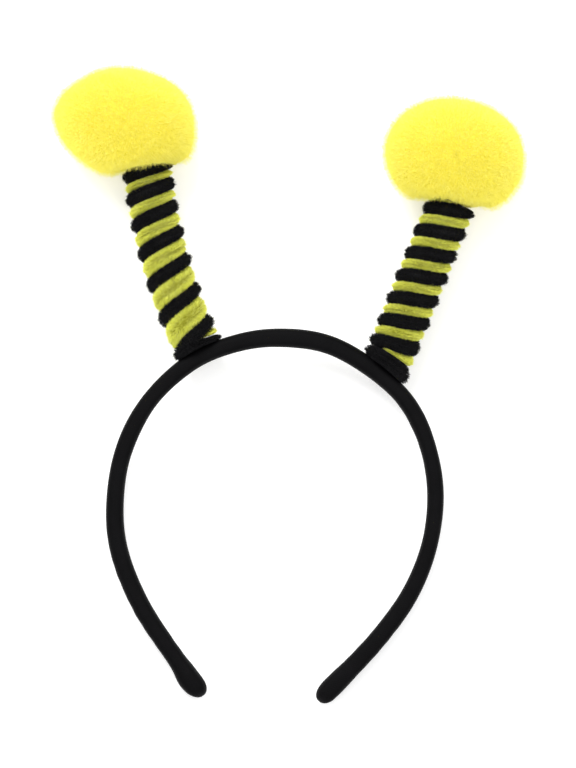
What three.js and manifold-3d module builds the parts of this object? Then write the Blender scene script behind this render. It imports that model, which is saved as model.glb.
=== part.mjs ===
// Bee antenna headband. A springy hoop under black cloth goes over the head, and two wound antennae
// with pompoms stand on it. It lies on its side, as it does when it is put down: the two tips of
// the hoop and both pompoms touch the surface. Lengths are millimetres and angles are degrees.
// The hoop's own plane comes first: x to the right, y from the tips to the crown, z across the band.

import * as THREE from 'three';
import { mergeVertices } from 'three/addons/utils/BufferGeometryUtils.js';
import Module from 'manifold-3d';

const wasm = await Module();
wasm.setup();

// Hoop, outside sizes
const hoopWidth = 125;
const crownRise = 67;
const tipDrop = 72;
const bandThick = 6.2;
const bandWidth = 9;
const tipLength = 16;
const tipRound = 4.5;

// Antennae: a black and a yellow chenille stem wound side by side round a post. A stem's end is cut
// where it gets thinner than thinEnd.
const leftLength = 72;
const rightLength = 66;
const coilWidth = 19.2;
const blackWidth = 5;
const blackDepth = 5.4;
const yellowInset = 0.6;
const thinEnd = 0.8;
const slantLength = 16;

// Pompoms, squashed balls of soft tufts
const pompomWidth = 51.6;
const pompomHeight = 41.8;
const pompomDepth = 45;
const tuftDepth = 2.6;
const coilSink = 5;
const postSink = 8;

// Clearances
const seatGap = 0.3;
const windGap = 0.3;
const boreGap = 0.4;

// Fineness of the solids
const bandSteps = 42;
const bandSides = 12;
const roundSteps = [0.15, 0.4, 1];
const swellSteps = 4;
const coilSteps = 16;
const coilSides = 6;
const roundSides = 16;
const postSteps = 4;
const ballSides = 12;
const tuftCount = 50;
const tuftSides = 5;

// Middle line of the hoop from its left tip to its right tip, as shares of the half width and of
// the rise above or the drop below the widest level
const hoopRows = [
  { across: -0.45, along: -1.008 },
  { across: -0.64, along: -0.784 },
  { across: -0.846, along: -0.509 },
  { across: -0.975, along: -0.227 },
  { across: -1.003, along: 0.0 },
  { across: -0.953, along: 0.322 },
  { across: -0.794, along: 0.619 },
  { across: -0.53, along: 0.85 },
  { across: -0.279, along: 0.954 },
  { across: 0.0, along: 0.996 },
  { across: 0.359, along: 0.948 },
  { across: 0.745, along: 0.706 },
  { across: 0.904, along: 0.494 },
  { across: 0.999, along: 0.166 },
  { across: 0.978, along: -0.151 },
  { across: 0.86, along: -0.434 },
  { across: 0.657, along: -0.687 },
  { across: 0.273, along: -1.037 },
];

// The covered band's thickness at shares of its length, as shares of bandThick
const thickRows = [
  { at: 0, thick: 1.1 },
  { at: 0.13, thick: 1.07 },
  { at: 0.26, thick: 1.04 },
  { at: 0.37, thick: 0.98 },
  { at: 0.51, thick: 1.13 },
  { at: 0.65, thick: 1 },
  { at: 0.79, thick: 0.95 },
  { at: 0.88, thick: 1.09 },
  { at: 1, thick: 1.1 },
];

// The cloth is folded over at the tips and swells there, by shares of the band's half thickness away
// from the head and towards it, and of its half width
const tipSwell = {
  left: { outer: 0.32, inner: 0.05, across: 0.12 },
  right: { outer: 0.08, inner: 0.1, across: 0.05 },
};

// seat is the share of the hoop's length at which the antenna stands, and lean is to the right.
// yellow is the yellow stem's width, lift is the height at which the black stem's full turns start
// and tail is the height of its end, which is squeezed under them, all as shares of the black
// stem's width. spread is how much wider than the mean the lowest turn is, and start is where the
// full turns start, clockwise from the front as seen from the foot.
const antennaRows = [
  {
    side: 'left', seat: 0.4094, leanFoot: -25, leanTip: -6, length: leftLength,
    yellow: 1.03, lift: 0.2, tail: 0.4, spread: 1.31, start: 342,
  },
  {
    side: 'right', seat: 0.605, leanFoot: 22, leanTip: 22, length: rightLength,
    yellow: 0.67, lift: 0.4, tail: 1, spread: 1, start: 171,
  },
];

// A pompom's wide, high and shift beside its antenna are shares of its sizes, sink is a share of
// coilSink, and turn tips it over. It bulges, or is flat where by is negative, towards angles from
// its own right, by shares of its reach there.
const pompomRows = {
  left: {
    wide: 0.99, high: 0.957, shift: -0.124, sink: 0.91, turn: -22,
    lobes: [
      { toward: 58, by: 0.1 },
      { toward: 150, by: -0.08 },
      { toward: 203, by: 0.055 },
      { toward: 327, by: 0.055 },
    ],
  },
  right: {
    wide: 0.972, high: 1.004, shift: -0.115, sink: 1.01, turn: -12,
    lobes: [
      { toward: 45, by: 0.055 },
      { toward: 304, by: 0.03 },
      { toward: 345, by: 0.03 },
    ],
  },
};

const clothBlack = { color: 0x1c1c1e, roughness: 0.85, metalness: 0 };
const chenilleBlack = { color: 0x0d0d0e, roughness: 0.95, metalness: 0 };
const chenilleYellow = { color: 0xd8d44a, roughness: 0.95, metalness: 0 };
const pompomYellow = { color: 0xfff04a, roughness: 0.95, metalness: 0 };
const postGrey = { color: 0x5a5a5c, roughness: 0.6, metalness: 0 };

const radians = THREE.MathUtils.degToRad;
const acrossBand = new THREE.Vector3(0, 0, 1);

// A closed solid skinned through rings of points, each ring counter-clockwise as seen from ahead
const skin = (rings, first, last) => {
  const sides = rings[0].length;
  const points = [first, ...rings.flat(), last];
  const at = (ring, side) => 1 + ring * sides + (side % sides);
  const faces = [];
  for (let side = 0; side < sides; side += 1) {
    faces.push(0, at(0, side + 1), at(0, side));
    for (let ring = 1; ring < rings.length; ring += 1) {
      faces.push(at(ring - 1, side), at(ring - 1, side + 1), at(ring, side + 1));
      faces.push(at(ring - 1, side), at(ring, side + 1), at(ring, side));
    }
    faces.push(points.length - 1, at(rings.length - 1, side), at(rings.length - 1, side + 1));
  }
  return new THREE.BufferGeometry().setFromPoints(points).setIndex(faces);
};

const toSolid = (geometry) => {
  const bare = geometry.clone();
  bare.deleteAttribute('normal');
  bare.deleteAttribute('uv');
  const merged = mergeVertices(bare);
  return new wasm.Manifold(new wasm.Mesh({
    numProp: 3,
    vertProperties: new Float32Array(merged.attributes.position.array),
    triVerts: new Uint32Array(merged.index.array),
  }));
};

const toGeometry = (solid) => {
  const mesh = solid.getMesh();
  const geometry = new THREE.BufferGeometry();
  geometry.setAttribute('position', new THREE.BufferAttribute(mesh.vertProperties, 3));
  return geometry.setIndex(new THREE.BufferAttribute(mesh.triVerts, 1));
};

// Hoop
const halfSpan = (hoopWidth - bandThick) / 2;
const hoopPoint = ({ across, along }) => {
  const reach = along > 0 ? crownRise - bandThick / 2 : tipDrop - bandThick / 2;
  return new THREE.Vector3(across * halfSpan, along * reach, 0);
};
const hoop = new THREE.CatmullRomCurve3(hoopRows.map(hoopPoint));
const hoopLength = hoop.getLength();

const hoopFrame = (share) => {
  const tangent = hoop.getTangentAt(share);
  return { centre: hoop.getPointAt(share), out: acrossBand.clone().cross(tangent) };
};

const thickAt = (share) => {
  const last = Math.max(1, thickRows.findIndex((row) => row.at >= share));
  const [from, to] = thickRows.slice(last - 1, last + 1);
  return THREE.MathUtils.mapLinear(share, from.at, to.at, from.thick, to.thick);
};

// How far the band reaches from its middle line, away from the head, towards it and across
const bandHalves = (share) => {
  const fromEnd = Math.min(share, 1 - share) * hoopLength;
  const swell = share < 0.5 ? tipSwell.left : tipSwell.right;
  const bulge = Math.sin(Math.PI * Math.min(fromEnd / tipLength, 1)) ** 2;
  const close = Math.sqrt(1 - (1 - Math.min(fromEnd / tipRound, 1)) ** 2);
  const thick = (bandThick / 2) * thickAt(share) * close;
  return {
    outer: thick * (1 + bulge * swell.outer),
    inner: thick * (1 + bulge * swell.inner),
    width: (bandWidth / 2) * (1 + bulge * swell.across) * close,
  };
};

// Rounded oblong section, flat on the side that meets the head
const bandCorner = 3.2;
const sectionCurve = (value) => Math.sign(value) * Math.abs(value) ** (2 / bandCorner);

const bandRing = (share) => {
  const { centre, out } = hoopFrame(share);
  const half = bandHalves(share);
  return Array.from({ length: bandSides }, (_, side) => {
    const turn = ((side + 0.5) / bandSides) * 2 * Math.PI;
    const thick = Math.cos(turn) > 0 ? half.outer : half.inner;
    return centre.clone()
      .addScaledVector(out, thick * sectionCurve(Math.cos(turn)))
      .addScaledVector(acrossBand, half.width * sectionCurve(Math.sin(turn)));
  });
};

const bandGeometry = () => {
  const roundShares = roundSteps.map((step) => (step * tipRound) / hoopLength);
  const swellShares = Array.from({ length: swellSteps }, (_, step) => (
    (tipRound + ((tipLength - tipRound) * (step + 1)) / swellSteps) / hoopLength
  ));
  const tipShares = [...roundShares, ...swellShares];
  const tipShare = tipLength / hoopLength;
  const middleShares = Array.from({ length: bandSteps - 1 }, (_, step) => (
    tipShare + (1 - 2 * tipShare) * ((step + 1) / bandSteps)
  ));
  const shares = [...tipShares, ...middleShares, ...tipShares.map((share) => 1 - share).reverse()];
  return skin(shares.map(bandRing), hoop.getPointAt(0), hoop.getPointAt(1));
};

// Where the headband touches the surface: the swollen tips, and the left pompom under its middle
const tipLow = -hoopPoint(hoopRows[0]).y - tipLength / 2;
const tipHalf = (bandWidth / 2) * (1 + tipSwell.left.across);

const leaning = (angle) => new THREE.Vector3(Math.sin(radians(angle)), Math.cos(radians(angle)), 0);

// The stem's line from the band's outside to the end of the winding, which is raised out of the
// hoop's plane
const stemLine = (row, raise) => {
  const { centre, out } = hoopFrame(row.seat);
  const foot = centre.clone().addScaledVector(out, bandHalves(row.seat).outer + seatGap);
  const bend = foot.clone().addScaledVector(leaning(row.leanFoot), row.length / 2);
  const end = bend.clone().addScaledVector(leaning(row.leanTip), row.length / 2);
  bend.z = raise / 2;
  end.z = raise;
  return { out, curve: new THREE.QuadraticBezierCurve3(foot, bend, end) };
};

const pompomCentre = (row, raise) => {
  const { high, shift, sink } = pompomRows[row.side];
  const { curve } = stemLine(row, raise);
  const ahead = curve.getTangent(1);
  const right = ahead.clone().cross(acrossBand);
  return curve.getPoint(1)
    .addScaledVector(ahead, (pompomHeight * high) / 2 - coilSink * sink)
    .addScaledVector(right, pompomWidth * shift);
};

// Seen from the hoop, the surface falls away from the tips to the pompoms by this slope. The left
// pompom's middle is in the hoop's plane, and the right one is raised to touch the surface too.
const lieSlope = (pompomDepth / 2 - tipHalf) / (pompomCentre(antennaRows[0], 0).y + tipLow);
const raiseOf = (row) => (
  pompomDepth / 2 - tipHalf - lieSlope * (pompomCentre(row, 0).y + tipLow)
);

// A function that takes a point beside a straight stem to its place beside the real one. The foot
// is sheared and bent to lie along the band.
const stemPlacer = (row, raise) => {
  const { out, curve } = stemLine(row, raise);
  const length = curve.getLength();
  const footAhead = curve.getTangentAt(0);
  const footRight = footAhead.clone().cross(acrossBand);
  const shear = -footRight.dot(out) / footAhead.dot(out);
  const beside = coilWidth / 2 / hoopLength;
  const outRight = hoopFrame(row.seat + beside).out;
  const outTurn = outRight.distanceTo(hoopFrame(row.seat - beside).out) / coilWidth;
  const bend = (outTurn / 2) * (1 + shear ** 2) ** 1.5;
  return (x, rise, z) => {
    const share = THREE.MathUtils.clamp(rise / length, 0, 1);
    const ahead = curve.getTangentAt(share);
    const right = ahead.clone().cross(acrossBand).normalize();
    const front = right.clone().cross(ahead);
    const slant = (shear * x - bend * x * x) * Math.max(0, 1 - rise / slantLength);
    return curve.getPointAt(share)
      .addScaledVector(ahead, rise - share * length + slant)
      .addScaledVector(right, x)
      .addScaledVector(front, z);
  };
};

// A turned solid round the stem, from rows of radius and rise
const roundOnStem = (place, rows) => {
  const ring = ({ radius, rise }) => Array.from({ length: roundSides }, (_, side) => {
    const turn = (side / roundSides) * 2 * Math.PI;
    return place(radius * Math.sin(turn), rise, radius * Math.cos(turn));
  });
  return skin(rows.map(ring), place(0, rows[0].rise, 0), place(0, rows[rows.length - 1].rise, 0));
};

const coilBore = coilWidth / 2 - blackDepth;
const postRadius = coilBore - boreGap;
const postTop = (row) => row.length + postSink;

const postGeometry = (row, place) => {
  const rows = Array.from({ length: postSteps + 1 }, (_, step) => (
    { radius: postRadius, rise: (postTop(row) * step) / postSteps }
  ));
  return roundOnStem(place, rows);
};

// Height of the middle of the black stem after some turns
const climbOf = (row) => row.length - blackWidth * (1 + row.lift);
const turnsOf = (row) => climbOf(row) / (blackWidth * (1 + row.yellow) + 2 * windGap);
const blackRise = (row, turns) => {
  const share = turns / turnsOf(row);
  const climbed = row.spread * share + (1 - row.spread) * share * share;
  return blackWidth * (row.lift + 0.5) + climbOf(row) * climbed;
};

// Turns at which the black stem's middle reaches a height, by halving
const halvings = 30;
const turnsAt = (row, rise) => {
  let low = -1;
  let high = turnsOf(row) + 1;
  for (let halving = 0; halving < halvings; halving += 1) {
    const middle = (low + high) / 2;
    if (blackRise(row, middle) < rise) {
      low = middle;
    } else {
      high = middle;
    }
  }
  return low;
};

// One wound stem. level gives its lower and upper face after some turns. Where a face would reach
// past the foot or the end of the winding it lies flat there instead.
const endTaper = [0.45, 0.8];
const coilGeometry = (row, place, { from, to, depth, middleRadius, level }) => {
  const firstStep = Math.ceil(from * coilSteps);
  const lastStep = Math.floor(to * coilSteps);
  const angleAt = (step) => (step / coilSteps) * 2 * Math.PI + radians(row.start);
  const facesAt = (step) => {
    const { below, above } = level(step / coilSteps);
    const low = Math.max(below, 0);
    const high = Math.min(above, row.length);
    return { rise: (low + high) / 2, half: (high - low) / 2 };
  };
  const ringAt = (step, size) => {
    const { rise, half } = facesAt(step);
    return Array.from({ length: coilSides }, (_, side) => {
      const turn = ((side + 0.5) / coilSides) * 2 * Math.PI;
      const flat = Math.cos(Math.PI / coilSides);
      const radius = middleRadius + (depth / 2) * size * Math.sin(turn);
      const height = rise + (half / flat) * size * Math.cos(turn);
      return place(radius * Math.sin(angleAt(step)), height, radius * Math.cos(angleAt(step)));
    });
  };
  const middleAt = (step) => {
    const { rise } = facesAt(step);
    const angle = angleAt(step);
    return place(middleRadius * Math.sin(angle), rise, middleRadius * Math.cos(angle));
  };
  const rings = [];
  for (let step = firstStep; step <= lastStep; step += 1) {
    const fromEnd = Math.min(step - firstStep, lastStep - step);
    rings.push(ringAt(step, endTaper[fromEnd] ?? 1));
  }
  return skin(rings, middleAt(firstStep), middleAt(lastStep));
};

const tailHigh = (row) => blackWidth * row.tail;
const grooveHalf = blackWidth / 2 + windGap;

// The black stem's end lies on the band and is as high as its next turn lets it be. That turn lies
// on it, and comes off it where the yellow stem starts.
const blackGeometry = (row, place) => {
  const from = turnsAt(row, thinEnd + grooveHalf) - 1;
  return coilGeometry(row, place, {
    from,
    to: turnsAt(row, row.length - thinEnd + blackWidth / 2),
    depth: blackDepth,
    middleRadius: coilWidth / 2 - blackDepth / 2,
    level: (turns) => {
      const rise = blackRise(row, turns);
      const top = Math.max(rise + blackWidth / 2, tailHigh(row));
      return {
        below: turns < from + 1 ? 0 : rise - blackWidth / 2,
        above: Math.min(top, blackRise(row, turns + 1) - grooveHalf),
      };
    },
  });
};

// The yellow stem fills the groove that the black one leaves
const yellowGeometry = (row, place) => {
  const depth = blackDepth - yellowInset;
  const lowest = tailHigh(row) + windGap;
  return coilGeometry(row, place, {
    from: turnsAt(row, lowest + thinEnd + grooveHalf) - 1,
    to: turnsAt(row, row.length - thinEnd - grooveHalf),
    depth,
    middleRadius: coilBore + depth / 2,
    level: (turns) => ({
      below: Math.max(blackRise(row, turns) + grooveHalf, lowest),
      above: blackRise(row, turns + 1) - grooveHalf,
    }),
  });
};

// A ball of radius 1 with blunt tufts all over, spread evenly along a spiral from pole to pole
const tuftRoot = { out: 0.7, half: 0.12 };
const tuftShoulder = { out: 0.93, half: 0.2 };
const tuftSolid = (direction) => {
  const side = new THREE.Vector3(direction.y, direction.z, direction.x).cross(direction).normalize();
  const up = direction.clone().cross(side);
  const ring = ({ out, half }) => Array.from({ length: tuftSides }, (_, corner) => {
    const turn = (corner / tuftSides) * 2 * Math.PI;
    return direction.clone().multiplyScalar(out)
      .addScaledVector(side, half * Math.cos(turn))
      .addScaledVector(up, half * Math.sin(turn));
  });
  const root = direction.clone().multiplyScalar(tuftRoot.out);
  return toSolid(skin([ring(tuftRoot), ring(tuftShoulder)], root, direction));
};

const tuftDirections = Array.from({ length: tuftCount }, (_, tuft) => {
  const goldenTurn = Math.PI * (3 - Math.sqrt(5));
  const z = 1 - (2 * tuft + 1) / tuftCount;
  const ringRadius = Math.sqrt(1 - z * z);
  const turn = tuft * goldenTurn;
  return new THREE.Vector3(ringRadius * Math.cos(turn), ringRadius * Math.sin(turn), z);
});

// Moves a point of the ball out or in by the pompom's lobes
const lobeSharp = 8;
const swellLobes = (point, lobes) => {
  const direction = point.clone().normalize();
  const share = lobes.reduce((sum, { toward, by }) => {
    const along = new THREE.Vector3(Math.cos(radians(toward)), Math.sin(radians(toward)), 0);
    return sum + by * Math.exp(lobeSharp * (direction.dot(along) - 1));
  }, 1);
  return point.multiplyScalar(share);
};

// The pompom is pushed over the end of the winding, and the post goes on into it. No tuft grows
// over the mouth of its socket.
const pompomGeometry = (row, raise, place) => {
  const { wide, high, sink, turn, lobes } = pompomRows[row.side];
  const { curve } = stemLine(row, raise);
  const ahead = curve.getTangent(1);
  const centre = pompomCentre(row, raise);
  const size = new THREE.Vector3(pompomWidth * wide, pompomHeight * high, pompomDepth);
  const toPompom = new THREE.Matrix4().compose(
    centre,
    new THREE.Quaternion().setFromAxisAngle(acrossBand, radians(turn)),
    size.multiplyScalar(0.5),
  );
  const coilRadius = coilWidth / 2 + windGap;
  const boreRadius = postRadius + windGap;
  const beside = (direction) => {
    const fromEnd = direction.clone().applyMatrix4(toPompom).sub(curve.getPoint(1));
    return fromEnd.dot(ahead) > 0 || fromEnd.cross(ahead).length() > coilRadius;
  };
  const core = 1 - (2 * tuftDepth) / pompomDepth;
  const ball = tuftDirections.filter(beside).reduce(
    (joined, direction) => joined.add(tuftSolid(direction)),
    toSolid(new THREE.SphereGeometry(core, ballSides, ballSides / 2 + 1)),
  );
  const belowPompom = 3 * coilSink;
  const socket = roundOnStem(place, [
    { radius: coilRadius, rise: row.length - belowPompom },
    { radius: coilRadius, rise: row.length - coilSink * sink },
    { radius: coilRadius, rise: row.length + seatGap },
    { radius: boreRadius, rise: row.length + seatGap },
    { radius: boreRadius, rise: postTop(row) + seatGap },
  ]);
  const shape = toGeometry(ball);
  const points = shape.attributes.position;
  for (let index = 0; index < points.count; index += 1) {
    const point = swellLobes(new THREE.Vector3().fromBufferAttribute(points, index), lobes);
    points.setXYZ(index, point.x, point.y, point.z);
  }
  const pompom = toSolid(shape.applyMatrix4(toPompom));
  return toGeometry(pompom.subtract(toSolid(socket)));
};

const headband = new THREE.Group();
const addPiece = (name, geometry, finish) => {
  const piece = new THREE.Mesh(geometry, new THREE.MeshStandardMaterial(finish));
  piece.name = name;
  geometry.computeVertexNormals();
  headband.add(piece);
};

addPiece('band', bandGeometry(), clothBlack);
for (const row of antennaRows) {
  const raise = raiseOf(row);
  const place = stemPlacer(row, raise);
  addPiece(`${row.side}_post`, postGeometry(row, place), postGrey);
  addPiece(`${row.side}_black_chenille`, blackGeometry(row, place), chenilleBlack);
  addPiece(`${row.side}_yellow_chenille`, yellowGeometry(row, place), chenilleYellow);
  addPiece(`${row.side}_pompom`, pompomGeometry(row, raise, place), pompomYellow);
}

// Laid on the surface, with the origin under the middle
headband.rotation.x = Math.atan(lieSlope);
headband.updateMatrixWorld(true);
const extent = new THREE.Box3().setFromObject(headband, true);
const middle = extent.getCenter(new THREE.Vector3());
headband.position.set(-middle.x, -middle.y, -extent.min.z);

const part = new THREE.Group();
part.add(headband);

export default part;
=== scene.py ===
# Bee antenna headband: a springy hoop under black cloth, with two antennae wound from chenille stems
# and topped by pompoms, laid on its side. Sizes are millimetres and angles are degrees. They are set
# out in the hoop's own plane, with x to the right, y from the tips to the crown and z across the
# band, and lay() then tips that plane down on the floor and gives metres.

import bpy
import numpy as np
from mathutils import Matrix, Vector


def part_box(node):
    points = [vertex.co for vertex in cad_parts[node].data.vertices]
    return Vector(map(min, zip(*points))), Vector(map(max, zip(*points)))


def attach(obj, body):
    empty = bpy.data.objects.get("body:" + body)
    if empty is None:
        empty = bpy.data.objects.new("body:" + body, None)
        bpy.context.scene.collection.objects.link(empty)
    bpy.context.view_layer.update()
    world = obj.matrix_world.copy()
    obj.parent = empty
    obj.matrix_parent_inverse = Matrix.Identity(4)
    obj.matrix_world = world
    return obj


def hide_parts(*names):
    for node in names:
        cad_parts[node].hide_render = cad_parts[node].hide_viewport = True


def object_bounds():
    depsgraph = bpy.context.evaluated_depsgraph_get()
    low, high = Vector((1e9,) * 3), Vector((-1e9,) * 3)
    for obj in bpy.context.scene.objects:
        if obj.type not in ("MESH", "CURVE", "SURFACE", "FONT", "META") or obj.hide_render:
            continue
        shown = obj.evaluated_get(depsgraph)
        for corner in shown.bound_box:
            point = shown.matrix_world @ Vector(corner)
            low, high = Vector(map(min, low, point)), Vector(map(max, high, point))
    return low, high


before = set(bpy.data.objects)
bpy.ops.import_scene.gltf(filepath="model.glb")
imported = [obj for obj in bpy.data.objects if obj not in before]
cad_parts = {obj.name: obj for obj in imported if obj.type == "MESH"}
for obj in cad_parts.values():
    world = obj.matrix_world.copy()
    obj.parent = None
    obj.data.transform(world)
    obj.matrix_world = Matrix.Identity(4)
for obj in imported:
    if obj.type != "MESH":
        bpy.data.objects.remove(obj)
cad_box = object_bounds()


# The band is one springy strip under tight black cloth. The cloth is wrapped round the strip from
# tip to tip and lapped along the inside, and at each tip it is folded over, tucked in and glued, so
# that the tips swell.
hoop_width = 125
crown_rise = 67
tip_drop = 72
band_thick = 6.2
band_wide = 9
tip_length = 16
tip_round = 4.5
band_corner = 3.2

# How the tips swell, by shares of the half thickness away from the head and towards it, and of the
# half width
tip_swell = {
    "left": {"outer": 0.32, "inner": 0.05, "across": 0.12},
    "right": {"outer": 0.08, "inner": 0.1, "across": 0.05},
}

# Thickness at shares of the band's length, as shares of band_thick
thick_rows = [
    {"at": 0, "thick": 1.1},
    {"at": 0.13, "thick": 1.07},
    {"at": 0.26, "thick": 1.04},
    {"at": 0.37, "thick": 0.98},
    {"at": 0.51, "thick": 1.13},
    {"at": 0.65, "thick": 1},
    {"at": 0.79, "thick": 0.95},
    {"at": 0.88, "thick": 1.09},
    {"at": 1, "thick": 1.1},
]

# Middle line from the left tip to the right one, as shares of the half width and of the rise above
# or the drop below the widest level
hoop_rows = [
    {"across": -0.45, "along": -1.008},
    {"across": -0.64, "along": -0.784},
    {"across": -0.846, "along": -0.509},
    {"across": -0.975, "along": -0.227},
    {"across": -1.003, "along": 0.0},
    {"across": -0.953, "along": 0.322},
    {"across": -0.794, "along": 0.619},
    {"across": -0.53, "along": 0.85},
    {"across": -0.279, "along": 0.954},
    {"across": 0.0, "along": 0.996},
    {"across": 0.359, "along": 0.948},
    {"across": 0.745, "along": 0.706},
    {"across": 0.904, "along": 0.494},
    {"across": 0.999, "along": 0.166},
    {"across": 0.978, "along": -0.151},
    {"across": 0.86, "along": -0.434},
    {"across": 0.657, "along": -0.687},
    {"across": 0.273, "along": -1.037},
]


def hoop_point(row):
    reach = (crown_rise if row["along"] > 0 else tip_drop) - band_thick / 2
    return [row["across"] * (hoop_width - band_thick) / 2, row["along"] * reach, 0]


def smooth_line(points, steps):
    """Points along the smooth line through the given ones, with a number of steps to each stretch."""
    points = np.vstack([2 * points[0] - points[1], points, 2 * points[-1] - points[-2]])
    line = []
    for first in range(len(points) - 3):
        p = points[first:first + 4]
        knot = np.concatenate([[0], np.cumsum(np.sqrt(np.linalg.norm(np.diff(p, axis=0), axis=1)))])
        t = np.linspace(knot[1], knot[2], steps, endpoint=False)[:, None]

        def between(a, b, start, end):
            return ((knot[end] - t) * a + (t - knot[start]) * b) / (knot[end] - knot[start])

        a, b, c = (between(p[i], p[i + 1], i, i + 1) for i in range(3))
        line.append(between(between(a, b, 0, 2), between(b, c, 1, 3), 1, 2))
    return np.vstack([*line, points[-2:-1]])


hoop_steps = 200
hoop_line = smooth_line(np.array([hoop_point(row) for row in hoop_rows]), hoop_steps)
hoop_runs = np.concatenate([[0], np.cumsum(np.linalg.norm(np.diff(hoop_line, axis=0), axis=1))])
hoop_length = hoop_runs[-1]
hoop_ahead = np.gradient(hoop_line, hoop_runs, axis=0)


def along_line(runs, values, at):
    return np.stack([np.interp(at, runs, values[:, axis]) for axis in range(3)], axis=-1)


def unit(vectors):
    return vectors / np.linalg.norm(vectors, axis=-1, keepdims=True)


across_band = np.array([0, 0, 1])


def hoop_frame(share):
    """Middle of the band, and the way out from the head, at shares of the band's length."""
    run = np.asarray(share) * hoop_length
    ahead = unit(along_line(hoop_runs, hoop_ahead, run))
    return along_line(hoop_runs, hoop_line, run), np.cross(across_band, ahead)


def band_halves(shares):
    """How far the band reaches from its middle line: away from the head, towards it and across."""
    from_tip = np.minimum(shares, 1 - shares) * hoop_length
    swell = {
        way: np.where(shares < 0.5, tip_swell["left"][way], tip_swell["right"][way])
        for way in ("outer", "inner", "across")
    }
    bulge = np.sin(np.pi * np.minimum(from_tip / tip_length, 1)) ** 2
    close = np.sqrt(1 - (1 - np.minimum(from_tip / tip_round, 1)) ** 2)
    thick = np.interp(shares, [row["at"] for row in thick_rows], [row["thick"] for row in thick_rows])
    half = band_thick / 2 * thick * close
    return (
        half * (1 + bulge * swell["outer"]), half * (1 + bulge * swell["inner"]),
        band_wide / 2 * (1 + bulge * swell["across"]) * close,
    )


# Rings of the band's section, close together round the tips, where first_ring says how far round the
# tip the first one lies. band_turns run once round the section, from the outside of the hoop.
round_rings, band_rings, band_sides = 16, 1000, 38
first_ring = 0.06
tip_turns = np.linspace(first_ring, 1, round_rings) * np.pi / 2
round_shares = tip_round / hoop_length * (1 - np.cos(tip_turns))
middle_shares = np.linspace(round_shares[-1], 1 - round_shares[-1], band_rings)
band_shares = np.concatenate([round_shares[:-1], middle_shares, 1 - round_shares[-2::-1]])
band_turns = np.arange(band_sides) / band_sides * 2 * np.pi
outer_half, inner_half, half_wide = band_halves(band_shares)
half_thick = np.where(np.cos(band_turns) > 0, outer_half[:, None], inner_half[:, None])
band_middle, band_out = hoop_frame(band_shares)


def corner_curve(value):
    """A sine or cosine made fuller, so that the section is squarer than an ellipse."""
    return np.sign(value) * np.abs(value) ** (2 / band_corner)


outward = half_thick * corner_curve(np.cos(band_turns))
sideways = half_wide[:, None] * corner_curve(np.sin(band_turns))
band_points = (
    band_middle[:, None] + outward[..., None] * band_out[:, None] + sideways[..., None] * across_band
)

# Relief of the cloth: the strip's slight waviness, tension creases that run askew, the lapped edge
# along the inside, and at the tips the tucked pleats and the edge of the fold
wave_high, crease_high, lap_high, pleat_high, fold_high = 0.07, 0.05, 0.3, 0.1, 0.14
wave_long, wave_drift = 7.3, 19
crease_count, crease_long, crease_slope, crease_widths = 14, 14, 2.5, (0.8, 1.6)
lap_from, lap_place, lap_sharp = -0.2, 0.15, 16
pleat_count, pleat_uneven, pleat_long = 7, 1.3, 5.5
fold_askew, fold_uneven, fold_step = 0.9, 0.5, 0.35
rng = np.random.default_rng(11)
run = (band_shares * hoop_length)[:, None]
turn = band_turns[None]
relief = wave_high * np.sin(run / wave_long + np.sin(run / wave_drift) * 2 + 2 * np.sin(turn))
for _ in range(crease_count):
    spot = rng.uniform(0, hoop_length)
    slope = rng.uniform(-crease_slope, crease_slope)
    width = rng.uniform(*crease_widths)
    where = rng.uniform(0, 2 * np.pi)
    reach = np.exp(-((run - spot) / crease_long) ** 2) * np.exp(-2 * (1 - np.cos(turn - where)))
    relief = relief + crease_high * reach * np.cos((run - spot + slope * np.sin(turn - where)) / width)
facing_head = (np.cos(band_turns) < lap_from)[None]
side_share = sideways / half_wide.max()
lap_fade = 1 + np.exp(-(side_share - lap_place) * lap_sharp)
relief = relief + lap_high * facing_head / lap_fade * (1 - np.abs(side_share))
from_tip = np.minimum(band_shares, 1 - band_shares) * hoop_length
near_tip = (np.exp(-(from_tip / pleat_long) ** 2) * half_wide / half_wide.max())[:, None]
relief = relief + pleat_high * near_tip * np.cos(pleat_count * turn + pleat_uneven * np.sin(2 * turn))
fold_edge = tip_length + fold_askew * np.sin(turn) + fold_uneven * np.cos(2 * turn + 1)
relief = relief + fold_high / (1 + np.exp((from_tip[:, None] - fold_edge) / fold_step))
away = unit(outward[..., None] * band_out[:, None] + sideways[..., None] * across_band)
cloth_points = band_points + relief[..., None] * away

# Laid down: the hoop leans on its swollen tips and on both pompoms, by the slope from the tips to
# the left pompom. The place comes from where the frame's band lies.
pompom_size = np.array([51.6, 41.8, 45])
coil_sink = 5
coil_wide = 19.2
seat_gap = 0.3
stem_steps = 400

# Each antenna's seat is a share of the band's length, and it leans by one angle at the foot and by
# another at the tip. Its winding starts at an angle, and its lower turns are more open where spread
# is over 1. The yellow stem's width, the first black turn's lift off the foot and the height of its
# tail are shares of the black stem's width. The pompom's shift, width, height and sink are shares of
# pompom_size and coil_sink, and it is turned by an angle.
antennae = [
    {
        "side": "left", "seat": 0.4094, "lean_foot": -25, "lean_tip": -6, "length": 72,
        "yellow": 1.03, "lift": 0.2, "tail": 0.4, "spread": 1.31, "start": 342,
        "shift": -0.124, "wide": 0.99, "high": 0.957, "sink": 0.91, "turn": -22,
    },
    {
        "side": "right", "seat": 0.605, "lean_foot": 22, "lean_tip": 22, "length": 66,
        "yellow": 0.67, "lift": 0.4, "tail": 1, "spread": 1, "start": 171,
        "shift": -0.115, "wide": 0.972, "high": 1.004, "sink": 1.01, "turn": -12,
    },
]


def leaning(angle):
    return np.array([np.sin(np.radians(angle)), np.cos(np.radians(angle)), 0])


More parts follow.
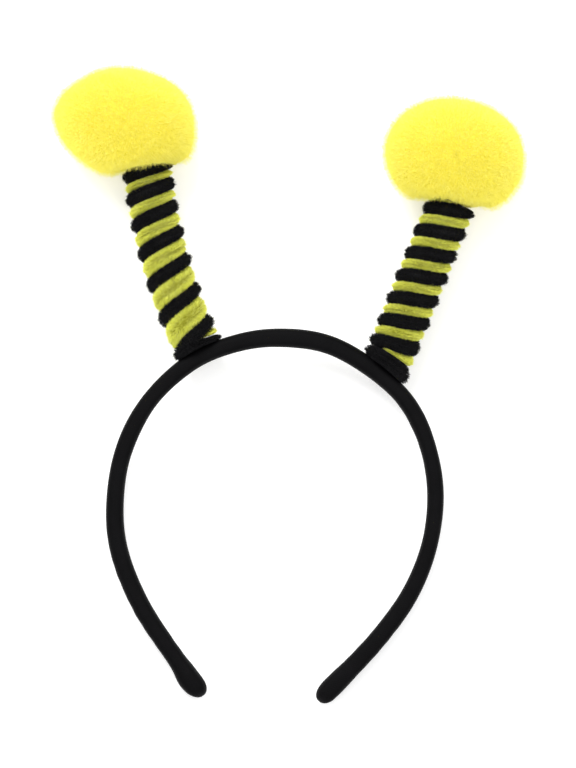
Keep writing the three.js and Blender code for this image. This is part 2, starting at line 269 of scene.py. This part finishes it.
def stem_line(row, end_up):
    """Points along the middle of an antenna, whose end stands out of the hoop's plane by end_up."""
    centre, out = hoop_frame(row["seat"])
    foot = centre + out * (band_halves(row["seat"])[0] + seat_gap)
    bend = foot + leaning(row["lean_foot"]) * row["length"] / 2 + across_band * end_up / 2
    end = bend + leaning(row["lean_tip"]) * row["length"] / 2 + across_band * end_up / 2
    t = np.linspace(0, 1, stem_steps)[:, None]
    return (1 - t) ** 2 * foot + 2 * t * (1 - t) * bend + t * t * end


def pompom_centre(row, end_up):
    line = stem_line(row, end_up)
    ahead = unit(line[-1] - line[-2])
    right = np.cross(ahead, across_band)
    up = pompom_size[1] * row["high"] / 2 - coil_sink * row["sink"]
    return line[-1] + ahead * up + right * pompom_size[0] * row["shift"]


tip_low = -hoop_point(hoop_rows[0])[1] - tip_length / 2
tip_half = band_wide / 2 * (1 + tip_swell["left"]["across"])
lie_slope = (pompom_size[2] / 2 - tip_half) / (pompom_centre(antennae[0], 0)[1] + tip_low)
for row in antennae:
    reach = pompom_centre(row, 0)[1] + tip_low
    row["end_up"] = pompom_size[2] / 2 - tip_half - lie_slope * reach

lie_angle = np.arctan(lie_slope)
lie_turn = np.array([
    [1, 0, 0],
    [0, np.cos(lie_angle), -np.sin(lie_angle)],
    [0, np.sin(lie_angle), np.cos(lie_angle)],
])
metres = 0.001
lie_place = np.array(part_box("band")[0]) - (band_points @ lie_turn.T).min((0, 1)) * metres


def lay(points):
    laid = points @ lie_turn.T * metres + lie_place
    laid[..., 2] = np.maximum(laid[..., 2], 0)
    return laid


def add_piece(name, points, faces, *nodes):
    """A piece on the one body, which stands for the frame's nodes."""
    mesh = bpy.data.meshes.new(name)
    mesh.from_pydata(points.tolist(), [], faces)
    piece = bpy.data.objects.new(name, mesh)
    bpy.context.scene.collection.objects.link(piece)
    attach(piece, "root")
    if nodes:
        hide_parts(*nodes)
    return piece


def tube_faces(rings, sides, first=0):
    """Faces of a tube skinned through rings, with a middle point at each end after the rings."""
    at = first + np.arange(rings * sides).reshape(rings, sides)
    near, far = at[:-1], at[1:]
    walls = np.stack([near, np.roll(near, -1, 1), np.roll(far, -1, 1), far], -1).reshape(-1, 4)
    start, end = first + rings * sides, first + rings * sides + 1
    start_cap = [[start, *pair] for pair in zip(np.roll(at[0], -1), at[0])]
    end_cap = [[end, *pair] for pair in zip(at[-1], np.roll(at[-1], -1))]
    return walls.tolist() + [[int(corner) for corner in face] for face in start_cap + end_cap]


def add_map(piece, name, places):
    """A texture map with a place for each corner of each face."""
    layer = piece.data.uv_layers.new(name=name)
    layer.data.foreach_set("uv", np.asarray(places, np.float32).ravel())


def tube_map(rings, runs, turns):
    """Places for tube_faces, from the run along the tube and the turn round it, both as shares."""
    u, v = np.meshgrid(runs, np.append(turns, 1), indexing="ij")
    grid = np.stack([u, v], -1)
    walls = np.stack([grid[:-1, :-1], grid[:-1, 1:], grid[1:, 1:], grid[1:, :-1]], 2)
    corners = [walls.reshape(-1, 2)]
    for ring, order in ((0, (1, 0)), (rings - 1, (0, 1))):
        middle = np.full((len(turns), 2), [runs[ring], 0.5])
        edge = [grid[ring, start:len(turns) + start] for start in order]
        corners.append(np.stack([middle, *edge], 1).reshape(-1, 2))
    return np.vstack(corners)


ends = np.stack([hoop_line[0], hoop_line[-1]])
rings = len(band_shares)
band = add_piece(
    "band_cloth", lay(np.vstack([cloth_points.reshape(-1, 3), ends])),
    tube_faces(rings, band_sides), "band",
)
band.data.shade_smooth()
add_map(band, "cloth", tube_map(rings, band_shares, np.arange(band_sides) / band_sides))


def add_material(name):
    """A new material's nodes, its links and its main shader."""
    material = bpy.data.materials.new(name)
    material.use_nodes = True
    tree = material.node_tree
    return material, tree, tree.nodes["Principled BSDF"]


def add_node(tree, kind, settings=None, **inputs):
    """A node with its settings made and its sockets set to values or linked to other sockets."""
    made = tree.nodes.new(kind)
    for setting, value in (settings or {}).items():
        setattr(made, setting, value)
    for socket, value in inputs.items():
        target = made.inputs[socket.replace("_", " ")]
        if isinstance(value, bpy.types.NodeSocket):
            tree.links.new(value, target)
        else:
            target.default_value = value
    return made


def blend_colours(tree, share, first, second):
    """A colour that goes from first to second as share goes from 0 to 1."""
    mix = tree.nodes.new("ShaderNodeMix")
    mix.data_type = "RGBA"
    tree.links.new(share, mix.inputs["Factor"])
    for socket, value in ((mix.inputs[6], first), (mix.inputs[7], second)):
        if isinstance(value, bpy.types.NodeSocket):
            tree.links.new(value, socket)
        else:
            socket.default_value = (*value, 1)
    return mix.outputs[2]


def calculate(tree, operation, first, second=0.0):
    made = tree.nodes.new("ShaderNodeMath")
    made.operation = operation
    for socket, value in zip(made.inputs, (first, second)):
        if isinstance(value, bpy.types.NodeSocket):
            tree.links.new(value, socket)
        else:
            socket.default_value = value
    return made.outputs[0]


# Black cloth: a fine plain weave that catches a little light, with fluff and rubbed places
cloth_dark, cloth_light = (0.0008, 0.0008, 0.0009), (0.0048, 0.0046, 0.0053)
threads_along, threads_round = 900, 64
cloth_rough, worn_rough = 0.42, 0.25
material, tree, shader = add_material("black cloth")
cloth_map = add_node(tree, "ShaderNodeUVMap", {"uv_map": "cloth"}).outputs[0]
places = add_node(tree, "ShaderNodeSeparateXYZ", Vector=cloth_map)
warp = calculate(tree, "SINE", calculate(tree, "MULTIPLY", places.outputs[0], threads_along * np.pi))
weft = calculate(tree, "SINE", calculate(tree, "MULTIPLY", places.outputs[1], threads_round * np.pi))
weave = calculate(tree, "MULTIPLY", warp, weft)
spots = add_node(tree, "ShaderNodeTexCoord").outputs["Object"]
worn = add_node(tree, "ShaderNodeTexNoise", Vector=spots, Scale=90.0, Detail=5.0, Roughness=0.6)
fluff = add_node(tree, "ShaderNodeTexNoise", Vector=spots, Scale=1400.0, Detail=2.0)
tone = calculate(tree, "MULTIPLY", worn.outputs[0], calculate(tree, "ADD", fluff.outputs[0], 0.5))
tree.links.new(blend_colours(tree, tone, cloth_dark, cloth_light), shader.inputs["Base Color"])
roughness = calculate(tree, "ADD", calculate(tree, "MULTIPLY", tone, worn_rough), cloth_rough)
tree.links.new(roughness, shader.inputs["Roughness"])
height = calculate(tree, "ADD", calculate(tree, "MULTIPLY", weave, 0.5), fluff.outputs[0])
bump = add_node(tree, "ShaderNodeBump", Strength=0.5, Distance=0.0001, Height=height)
tree.links.new(bump.outputs[0], shader.inputs["Normal"])
shader.inputs["Specular IOR Level"].default_value = 0.04
shader.inputs["Sheen Weight"].default_value = 0.004
shader.inputs["Sheen Roughness"].default_value = 0.5
band.data.materials.append(material)


# The antennae are wound round plain rods, which the stems hide. Each rod stays as the frame has it,
# in dark moulded plastic, and stands on the band.
rod_dark, rod_light = (0.02, 0.02, 0.018), (0.05, 0.05, 0.045)
material, tree, shader = add_material("rod plastic")
spots = add_node(tree, "ShaderNodeTexCoord").outputs["Object"]
grain = add_node(tree, "ShaderNodeTexNoise", Vector=spots, Scale=600.0, Detail=3.0)
tree.links.new(
    blend_colours(tree, grain.outputs[0], rod_dark, rod_light), shader.inputs["Base Color"]
)
shader.inputs["Roughness"].default_value = 0.6
for row in antennae:
    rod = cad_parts[f"{row['side']}_post"]
    rod.data.materials.clear()
    rod.data.materials.append(material)


# Black chenille stems: short pile held in a twist of wire, which the pile hides. Each is wound up its
# antenna in open turns, on the left closer towards the tip, and its first turn is pressed on the band.
black_wide, black_deep = 5, 5.4
wind_gap = 0.3
coil_bore = coil_wide / 2 - black_deep

# A stem's squeezed end is thin_end high, and the slant of the foot dies out over slant_length
thin_end = 0.8
slant_length = 16

# Part of the pile stands in two rows that twist round the stem, and the rest all round it. Reaches
# are shares of the stem's half width or half depth, and row_spread and strand_lean are radians.
twist_pitch = 4.5
row_part, row_spread = 0.5, 0.7
root_reach, strand_uneven, strand_lean = 0.1, 0.09, 0.12
across_most = 1.04
strand_widths = (0.7, 1.3)
loose_part, loose_least, loose_thin = 0.07, 0.1, 0.6

# Two partings wander along the outside of each stem, where the pile lies lower and its strands take
# more of the darker root colour as painted shade
partings = [{"at": 0.35, "pace": 5.3}, {"at": -0.35, "pace": 7.1}]
parting_wide, parting_deep = 0.15, 0.36
wander_high, ripple_high, ripple_pace = 0.25, 0.1, 23
strength_mean, strength_swing = 0.65, 0.35

# The dense inside of the pile is a tube with two twisted lobes, coloured with the root colour as
# painted shade. inner_steps is its rings to a turn.
inner_share, inner_lobe, inner_steps, inner_sides = 0.48, 0.06, 80, 10


def stem_placer(row):
    """A function that takes points beside a straight stem to their places beside the real one. The
    foot is sheared and bent to lie along the band."""
    line = stem_line(row, row["end_up"])
    runs = np.concatenate([[0], np.cumsum(np.linalg.norm(np.diff(line, axis=0), axis=1))])
    aheads = np.gradient(line, runs, axis=0)
    out = hoop_frame(row["seat"])[1]
    foot_right = np.cross(unit(aheads[0]), across_band)
    shear = -foot_right @ out / (unit(aheads[0]) @ out)
    beside = coil_wide / 2 / hoop_length
    turned = hoop_frame(row["seat"] + beside)[1] - hoop_frame(row["seat"] - beside)[1]
    bend = np.linalg.norm(turned) / coil_wide / 2 * (1 + shear ** 2) ** 1.5

    def place(x, rise, z):
        run = np.clip(rise, 0, runs[-1])
        ahead = unit(along_line(runs, aheads, run))
        right = unit(np.cross(ahead, across_band))
        front = np.cross(right, ahead)
        slant = (shear * x - bend * x ** 2) * np.maximum(0, 1 - rise / slant_length)
        return (
            along_line(runs, line, run) + ahead * (rise - run + slant)[..., None]
            + right * x[..., None] + front * z[..., None]
        )

    return place


def turns_of(row):
    climb = row["length"] - black_wide * (1 + row["lift"])
    return climb / (black_wide * (1 + row["yellow"]) + 2 * wind_gap)


def black_rise(row, turns):
    """Height of the middle of the black stem after some turns."""
    share = turns / turns_of(row)
    climbed = row["spread"] * share + (1 - row["spread"]) * share ** 2
    return black_wide * (row["lift"] + 0.5) + (row["length"] - black_wide * (1 + row["lift"])) * climbed


def turns_at(row, rise):
    """The turns after which the middle of the black stem is at a height."""
    turns = np.linspace(-1, turns_of(row) + 1, 4000)
    return np.interp(rise, black_rise(row, turns), turns)


# groove_half is the way from the middle of a black turn to the groove beside it, and pile_press is how
# far the pile of the first turn is pressed down on the band
groove_half = black_wide / 2 + wind_gap
pile_press = 0.5


def black_from(row):
    """The turn where the black stem sets off, squeezed thin under its next turn."""
    return turns_at(row, thin_end + groove_half) - 1


def black_levels(row, turns):
    """Lower and upper face of the black stem. Its end lies on the band, and its next turn on that."""
    rise = black_rise(row, turns)
    top = np.maximum(rise + black_wide / 2, row["tail"] * black_wide)
    return (
        np.where(turns < black_from(row) + 1, -pile_press, rise - black_wide / 2),
        np.minimum(top, black_rise(row, turns + 1) - groove_half),
    )


def blades(root, tip, half, rng):
    """Corners of flat fibres, each turned at random: one at the root and two at the blunt tip."""
    side = unit(np.cross(tip - root, rng.normal(size=root.shape))) * half[:, None]
    return np.stack([root, tip - side, tip + side], axis=1)


# Each strand's cell on a square sheet holds its three corners, and a share of the sheet below the
# cells is kept free for what lies inside the pile
cell_corners = [[0.5, 0.15], [0.85, 0.85], [0.15, 0.85]]
inside_rows = 0.1


def blade_maps(count, rng, shaded_tips=1.0):
    """Two maps for blades: a shade of each one's own against the share of its length, where a tip below
    1 takes more of the root colour as painted shade, and a cell of its own on a square sheet."""
    shade = np.broadcast_to(rng.random(count)[:, None], (count, 3))
    shade_places = np.stack([shade, np.broadcast_to(shaded_tips, count)[:, None] * [0, 1, 1]], -1)
    cells = int(np.ceil(np.sqrt(count)))
    number = np.arange(count)
    cell = np.stack([number % cells, number // cells], -1)[:, None]
    cell_places = (cell + cell_corners) / cells
    cell_places = cell_places * [1, 1 - inside_rows] + [0, inside_rows]
    return shade_places.reshape(-1, 2), cell_places.reshape(-1, 2)


def wind_stem(row, name, node, first, last, levels, depth, middle, count, half, fuzz, seed):
    """One wound stem: single strands over the dense inside of the pile. levels gives its lower and
    upper face, and fuzz is how far the longest strands stand out, as a share of half the depth."""
    place = stem_placer(row)
    rng = np.random.default_rng(seed)

    def faces_at(turns):
        below, above = levels(row, turns)
        low, high = np.maximum(below, -pile_press), np.minimum(above, row["length"])
        return (low + high) / 2, (high - low) / 2

    def point(turns, out, up, ahead=0.0):
        rise, tall = faces_at(turns)
        radius = middle + depth / 2 * out
        angle = turns * 2 * np.pi + np.radians(row["start"]) + ahead
        return place(radius * np.sin(angle), rise + tall * up, radius * np.cos(angle))

    turns = np.sort(rng.uniform(first, last, count))
    twist = turns * 2 * np.pi * 2 * np.pi * middle / twist_pitch + rng.integers(0, 2, count) * np.pi
    around = np.where(
        rng.random(count) < row_part, twist + rng.normal(0, row_spread, count),
        rng.uniform(0, 2 * np.pi, count),
    )
    loose = rng.random(count) < loose_part
    parted_and_shaded = np.zeros(count)
    for parting in partings:
        pace = parting["pace"]
        wander = wander_high * np.sin(turns * pace + seed)
        up = parting["at"] + wander + ripple_high * np.sin(turns * ripple_pace)
        strength = strength_mean + strength_swing * np.sin(turns * pace * 1.3 + seed * 2)
        near = np.exp(-((np.cos(around) - up) / parting_wide) ** 2) * (np.sin(around) > 0)
        parted_and_shaded = np.maximum(parted_and_shaded, near * strength * ~loose)
    reach = rng.normal(1, strand_uneven, count) - parting_deep * parted_and_shaded
    stand = loose * rng.uniform(loose_least, fuzz, count)
    across = np.minimum(reach, across_most)
    lean = rng.normal(0, strand_lean, count)
    root = point(turns, root_reach * np.sin(around), root_reach * np.cos(around))
    tip = point(turns, (reach + stand) * np.sin(around), across * np.cos(around), lean)
    blade_half = half * rng.uniform(*strand_widths, count) * np.where(loose, loose_thin, 1)
    corners = blades(root, tip, blade_half, rng).reshape(-1, 3)

    rings = int((last - first) * inner_steps)
    ring_turns = np.linspace(first, last, rings)[:, None]
    side = np.arange(inner_sides) / inner_sides * 2 * np.pi
    ring_twist = ring_turns * 2 * np.pi * 2 * np.pi * middle / twist_pitch
    swell = inner_share - inner_lobe * np.cos(2 * (side + ring_twist))
    inner = point(np.broadcast_to(ring_turns, swell.shape), swell * np.cos(side), swell * np.sin(side))
    inner_ends = inner[[0, -1]].mean(1)

    points = lay(np.vstack([corners, inner.reshape(-1, 3), inner_ends]))
    pile_faces = np.arange(len(corners)).reshape(-1, 3).tolist()
    inner_faces = tube_faces(rings, inner_sides, first=len(corners))
    piece = add_piece(name, points, pile_faces + inner_faces, node)
    # Strands in a parting get tips nearer the root colour: painted shade in the partings
    shade_places, cell_places = blade_maps(count, rng, 1 - parted_and_shaded)
    inner_map = tube_map(rings, np.linspace(0, 1, rings), np.arange(inner_sides) / inner_sides)
    # The inside takes the root colour: painted shade deep in the pile
    add_map(piece, "strand", np.vstack([shade_places, inner_map * [1, 0]]))
    add_map(piece, "OFBake", np.vstack([cell_places, inner_map * [1, inside_rows]]))
    return piece


def pile_material(name, root, tip, pale, roughness, sheen, through):
    """Soft pile: root to tip colours along each strand, where the darker root colour is painted shade
    deep in the pile, and every strand a little different. A share of the light goes through the
    strands."""
    material, tree, shader = add_material(name)
    strand = add_node(tree, "ShaderNodeUVMap", {"uv_map": "strand"}).outputs[0]
    places = add_node(tree, "ShaderNodeSeparateXYZ", Vector=strand)
    spots = add_node(tree, "ShaderNodeTexCoord").outputs["Object"]
    drift = add_node(tree, "ShaderNodeTexNoise", Vector=spots, Scale=160.0, Detail=3.0)
    along = blend_colours(tree, places.outputs[1], root, tip)
    share = calculate(tree, "MULTIPLY", places.outputs[0], drift.outputs[0])
    colour = blend_colours(tree, share, along, pale)
    tree.links.new(colour, shader.inputs["Base Color"])
    shader.inputs["Roughness"].default_value = roughness
    shader.inputs["Specular IOR Level"].default_value = 0.1
    shader.inputs["Sheen Weight"].default_value = sheen
    shader.inputs["Sheen Roughness"].default_value = 0.4
    if through:
        lit_through = add_node(tree, "ShaderNodeBsdfTranslucent", Color=colour)
        mix = add_node(tree, "ShaderNodeMixShader", Fac=through)
        tree.links.new(shader.outputs[0], mix.inputs[1])
        tree.links.new(lit_through.outputs[0], mix.inputs[2])
        tree.links.new(mix.outputs[0], tree.nodes["Material Output"].inputs["Surface"])
    return material


# The black root colour is darker than the tip: painted shade deep in the pile
black_pile = pile_material(
    "black pile", (0.003, 0.003, 0.0035), (0.006, 0.006, 0.007), (0.02, 0.02, 0.022), 0.7, 0.015, 0
)

black_count, black_half, black_fuzz = 90000, 0.06, 0.35
for number, row in enumerate(antennae):
    stem = wind_stem(
        row, f"{row['side']}_black_stem", f"{row['side']}_black_chenille",
        black_from(row), turns_at(row, row["length"] - thin_end + black_wide / 2),
        black_levels, black_deep, coil_wide / 2 - black_deep / 2, black_count, black_half,
        black_fuzz, 21 + number,
    )
    stem.data.materials.append(black_pile)


# Yellow chenille stems: the same kind of stem, wound in the groove that the black one leaves and
# squeezed to its width. It is a little thinner, so the black turns stand proud of it.
yellow_deep = black_deep - 0.6


def yellow_lowest(row):
    return row["tail"] * black_wide + wind_gap


def yellow_levels(row, turns):
    return (
        np.maximum(black_rise(row, turns) + groove_half, yellow_lowest(row)),
        black_rise(row, turns + 1) - groove_half,
    )


# The olive root colour is painted shade deep in the pile and in its partings
yellow_pile = pile_material(
    "yellow pile", (0.34, 0.33, 0.015), (0.92, 0.94, 0.15), (0.98, 1.0, 0.36), 0.8, 0.08, 0.4
)
yellow_count, yellow_half, yellow_fuzz = 95000, 0.06, 0.4
for number, row in enumerate(antennae):
    stem = wind_stem(
        row, f"{row['side']}_yellow_stem", f"{row['side']}_yellow_chenille",
        turns_at(row, yellow_lowest(row) + thin_end + groove_half) - 1,
        turns_at(row, row["length"] - thin_end - groove_half), yellow_levels, yellow_deep,
        coil_bore + yellow_deep / 2, yellow_count, yellow_half, yellow_fuzz, 31 + number,
    )
    stem.data.materials.append(yellow_pile)


# Pompoms: squashed balls of fine soft pile, cut even and a little tufted. Each is pushed over the end
# of its antenna, where the pile parts round the winding in a dimple.
# The core under the pile is coloured with painted shade: from the root colour to a share core_shade of
# the way to the tip colour
core_share, core_swell, core_shade = 0.95, 1.02, 0.2
core_rings, core_sides = 26, 48
socket_radius = coil_wide / 2 + wind_gap
dimple_deep, dimple_wide, dimple_edge = 3, 4.5, 1.5
floor_clear = 0.15

# Each strand leans towards the nearest tuft and stands almost even with the rest. Reaches, spreads
# and leans are shares of the pompom's half size.
tuft_count, tuft_pull, tuft_spread, tuft_uneven = 1500, 0.2, 0.02, 0.005
pile_count, pile_half, pile_spread, pile_uneven, pile_lean = 175000, 0.07, 0.004, 0.008, 0.03
pile_root, pile_widths = 0.98, (0.6, 1.3)
search_lots = 40

# Thinner stray strands stand proud of the rest, but not near the winding: stem_side is the cosine of
# the angle that is kept clear round the way to it
stray_part, stray_reaches, stray_thin, stem_side = 0.22, (0.01, 0.1), 0.4, 0.86

# Each pompom bulges, or is flat where by is negative, towards angles from its own right, by shares
# of its reach there
lobe_sharp = 8
lobes = {
    "left": [
        {"toward": 58, "by": 0.1},
        {"toward": 150, "by": -0.08},
        {"toward": 203, "by": 0.055},
        {"toward": 327, "by": 0.055},
    ],
    "right": [
        {"toward": 45, "by": 0.055},
        {"toward": 304, "by": 0.03},
        {"toward": 345, "by": 0.03},
    ],
}


def even_directions(count):
    """Directions spread evenly, along a spiral from pole to pole."""
    number = np.arange(count)
    level = 1 - (2 * number + 1) / count
    ring = np.sqrt(1 - level ** 2)
    turn = number * np.pi * (3 - np.sqrt(5))
    return np.stack([ring * np.cos(turn), ring * np.sin(turn), level], -1)


def pompom_placer(row):
    """A function that takes points of a ball of radius 1 to the pompom, clear of the winding, and the
    way from the ball's middle to the winding."""
    centre = pompom_centre(row, row["end_up"])
    line = stem_line(row, row["end_up"])
    end, ahead = line[-1], unit(line[-1] - line[-2])
    half = pompom_size * [row["wide"], row["high"], 1] / 2
    turn = np.radians(row["turn"])
    spin = np.array([
        [np.cos(turn), -np.sin(turn), 0],
        [np.sin(turn), np.cos(turn), 0],
        [0, 0, 1],
    ])

    def place(ball):
        swelling = 1
        for lobe in lobes[row["side"]]:
            toward = np.radians(lobe["toward"])
            share = unit(ball) @ [np.cos(toward), np.sin(toward), 0]
            swelling = swelling + lobe["by"] * np.exp(lobe_sharp * (share - 1))
        points = (ball * swelling[:, None] * half) @ spin.T + centre
        from_end = points - end
        rise = from_end @ ahead
        beside = from_end - rise[:, None] * ahead
        radius = np.linalg.norm(beside, axis=1)
        below = 1 / (1 + np.exp(np.clip(rise - coil_sink * row["sink"], -40, 40) / dimple_edge))
        sunk = dimple_deep * np.exp(-(np.maximum(radius - socket_radius, 0) / dimple_wide) ** 2) * below
        points = points + sunk[:, None] * ahead
        inside = (radius < socket_radius) & (rise + sunk < seat_gap)
        points = points + np.where(inside, seat_gap - rise - sunk, 0)[:, None] * ahead
        laid = lay(points)
        laid[:, 2] = np.maximum(laid[:, 2], floor_clear * metres)
        return laid

    return place, unit((end - centre) @ spin / half)


# The deeper root colour is painted shade deep in the pile
pompom_pile = pile_material(
    "pompom pile", (0.99, 0.915, 0.11), (0.99, 0.94, 0.2), (1.0, 0.965, 0.37), 0.85, 0.1, 0.35
)
for number, row in enumerate(antennae):
    place, toward_stem = pompom_placer(row)
    rng = np.random.default_rng(41 + number)
    outward = unit(even_directions(pile_count) + rng.normal(0, pile_spread, (pile_count, 3)))
    tufts = unit(even_directions(tuft_count) + rng.normal(0, tuft_spread, (tuft_count, 3)))
    nearest = np.concatenate([
        np.argmax(lot @ tufts.T, axis=1) for lot in np.array_split(outward, search_lots)
    ])
    pulled = unit(
        outward + (tufts[nearest] - outward) * tuft_pull + rng.normal(0, pile_lean, (pile_count, 3))
    )
    uneven = rng.normal(0, tuft_uneven, tuft_count)[nearest]
    reach = 1 + uneven + rng.normal(0, pile_uneven, pile_count)
    stray = (rng.random(pile_count) < stray_part) & (outward @ toward_stem < stem_side)
    reach = reach + stray * rng.uniform(*stray_reaches, pile_count)
    root, tip = outward * core_share * pile_root, pulled * reach[:, None]
    half = rng.uniform(*pile_widths, pile_count) * pile_half / (pompom_size.mean() / 2)
    half[stray] *= stray_thin
    corners = blades(root, tip, half, rng).reshape(-1, 3)

    polar = np.linspace(0, np.pi, core_rings + 2)[1:-1, None]
    around = np.arange(core_sides) / core_sides * 2 * np.pi
    core = core_share * core_swell * np.stack([
        np.sin(polar) * np.cos(around), np.sin(polar) * np.sin(around),
        np.broadcast_to(-np.cos(polar), (core_rings, core_sides)),
    ], -1)
    poles = np.array([[0, 0, -core_share], [0, 0, core_share]])
    points = place(np.vstack([corners, core.reshape(-1, 3), poles]))
    pile_faces = np.arange(len(corners)).reshape(-1, 3).tolist()
    core_faces = tube_faces(core_rings, core_sides, first=len(corners))
    pompom = add_piece(
        f"{row['side']}_pompom_pile", points, pile_faces + core_faces, f"{row['side']}_pompom"
    )
    shade_places, cell_places = blade_maps(pile_count, rng)
    core_map = tube_map(
        core_rings, np.linspace(0, core_shade, core_rings), np.arange(core_sides) / core_sides
    )
    # The core takes colours near the root colour: painted shade under the pile
    add_map(pompom, "strand", np.vstack([shade_places, core_map * [1, core_shade]]))
    add_map(pompom, "OFBake", np.vstack([cell_places, core_map * [1, inside_rows]]))
    pompom.data.materials.append(pompom_pile)


# Studio: a plain pale floor that glows a little, a soft even light all round and two large soft
# lights overhead
floor_half = 4.0
floor_glow, round_light = 0.3, 0.97
corners = np.array([[-1, -1, 0], [1, -1, 0], [1, 1, 0], [-1, 1, 0]]) * floor_half
floor_mesh = bpy.data.meshes.new("floor")
floor_mesh.from_pydata(corners.tolist(), [], [[0, 1, 2, 3]])
floor = bpy.data.objects.new("floor", floor_mesh)
bpy.context.scene.collection.objects.link(floor)
material, tree, shader = add_material("floor paper")
shader.inputs["Base Color"].default_value = (0.86, 0.86, 0.86, 1)
shader.inputs["Roughness"].default_value = 0.9
shader.inputs["Emission Color"].default_value = (1, 1, 1, 1)
shader.inputs["Emission Strength"].default_value = floor_glow
floor_mesh.materials.append(material)

world = bpy.data.worlds.new("studio")
bpy.context.scene.world = world
world.use_nodes = True
world.node_tree.nodes["Background"].inputs["Color"].default_value = (1, 1, 1, 1)
world.node_tree.nodes["Background"].inputs["Strength"].default_value = round_light

studio_lights = [
    {"name": "key", "from": (-0.4, 0.85, 1.45), "size": 0.9, "power": 19.5},
    {"name": "fill", "from": (0.3, 0.0, 1.6), "size": 1.2, "power": 5.0},
]
for row in studio_lights:
    light = bpy.data.lights.new(row["name"], "AREA")
    light.shape = "DISK"
    light.size = row["size"]
    light.energy = row["power"]
    lamp = bpy.data.objects.new(row["name"], light)
    lamp.location = row["from"]
    lamp.rotation_euler = (-Vector(row["from"])).to_track_quat("-Z", "Y").to_euler()
    bpy.context.scene.collection.objects.link(lamp)

# The camera looks square on the hoop's plane
camera_far = 1.6
frame_high = 0.284
low, high = cad_box
middle = (low + high) / 2
camera_data = bpy.data.cameras.new("camera")
camera_data.lens = camera_data.sensor_width * camera_far / frame_high
camera = bpy.data.objects.new("camera", camera_data)
back = Vector(lie_turn @ across_band)
camera.location = middle + back * camera_far
camera.rotation_euler = (lie_angle, 0, 0)
bpy.context.scene.collection.objects.link(camera)
bpy.context.scene.camera = camera
bpy.context.scene.view_settings.view_transform = "Standard"
